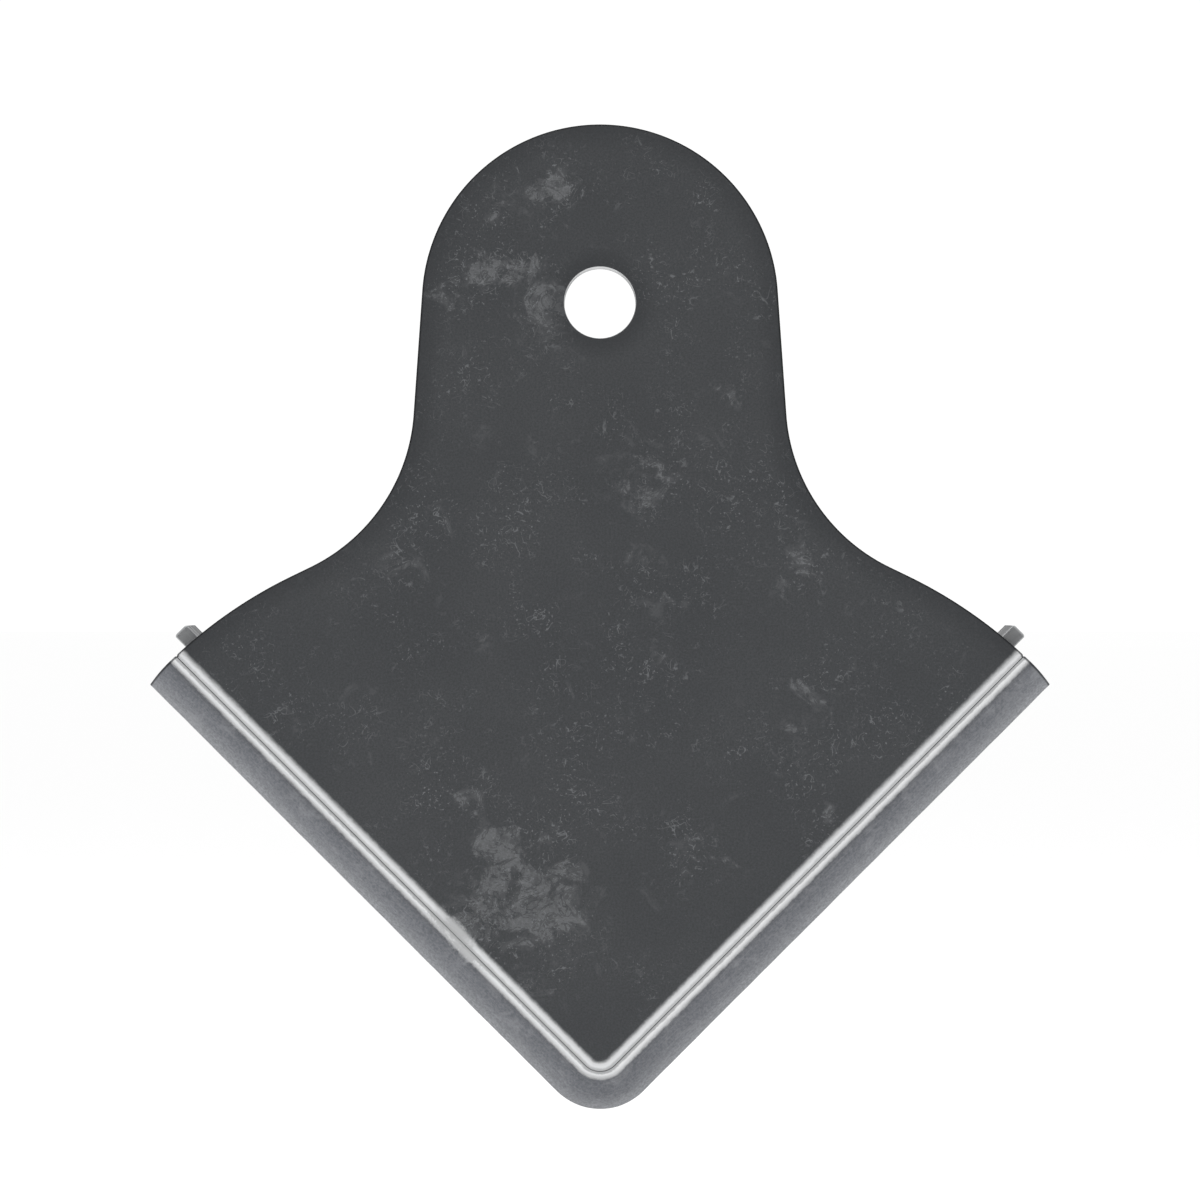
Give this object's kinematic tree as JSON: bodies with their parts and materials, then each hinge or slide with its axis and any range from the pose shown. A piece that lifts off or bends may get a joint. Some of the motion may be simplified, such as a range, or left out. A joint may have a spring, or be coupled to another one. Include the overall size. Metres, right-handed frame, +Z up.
{
  "type": "bucket tooth",
  "caption": "Flat V-point bucket tooth with a bolt eye, a bevelled replaceable cutting edge and flat retaining keys held by welded rear hooks.",
  "frame": {"origin": "centre of the bolt hole, on the rear seating face of the tooth plate", "axes": "upright: +Z up towards the top of the eye, +Y out of the rear face, -Y out of the front face, the point down at -Z"},
  "size_m": [0.3304, 0.0546, 0.3604],
  "materials": {
    "paint": "dull dark grey paint, scuffed",
    "ground_steel": "ground bevel with bright polished arrises along the seam",
    "bar_steel": "drawn flat bar, satin",
    "cut_steel": "mill scale faces and flame-cut sides",
    "zinc": "bright zinc plate",
    "weld_steel": "rippled weld bead"
  },
  "bodies": {
    "tooth": {"tooth_plate": "paint", "cutting_edge": "ground_steel", "left_plate_hook_lower": "cut_steel", "left_plate_hook_middle": "cut_steel", "left_plate_hook_upper": "cut_steel", "right_plate_hook_lower": "cut_steel", "right_plate_hook_middle": "cut_steel", "right_plate_hook_upper": "cut_steel", "left_edge_hook_lower": "cut_steel", "left_edge_hook_upper": "cut_steel", "right_edge_hook_lower": "cut_steel", "right_edge_hook_upper": "cut_steel", "nose_stop": "cut_steel", "left_plate_hook_welds": "weld_steel", "right_plate_hook_welds": "weld_steel", "left_edge_hook_welds": "weld_steel", "right_edge_hook_welds": "weld_steel", "nose_stop_weld": "weld_steel"},
    "left_key": {"left_key": "bar_steel"},
    "right_key": {"right_key": "bar_steel"},
    "left_lock": {"left_lock_screw": "zinc", "left_jam_nut": "zinc"},
    "right_lock": {"right_lock_screw": "zinc", "right_jam_nut": "zinc"}
  },
  "joints": [
    {"name": "left_key_slide", "type": "slide", "parent": "tooth", "child": "left_key", "axis": [-0.7071, 0, 0.7071], "range_m": [0, 0.18]},
    {"name": "right_key_slide", "type": "slide", "parent": "tooth", "child": "right_key", "axis": [0.7071, 0, 0.7071], "range_m": [0, 0.18]},
    {"name": "left_lock_backs_off", "type": "slide", "parent": "tooth", "child": "left_lock", "axis": [0.7071, 0, 0.7071], "range_m": [0, 0.006]},
    {"name": "right_lock_backs_off", "type": "slide", "parent": "tooth", "child": "right_lock", "axis": [-0.7071, 0, 0.7071], "range_m": [0, 0.006]}
  ]
}
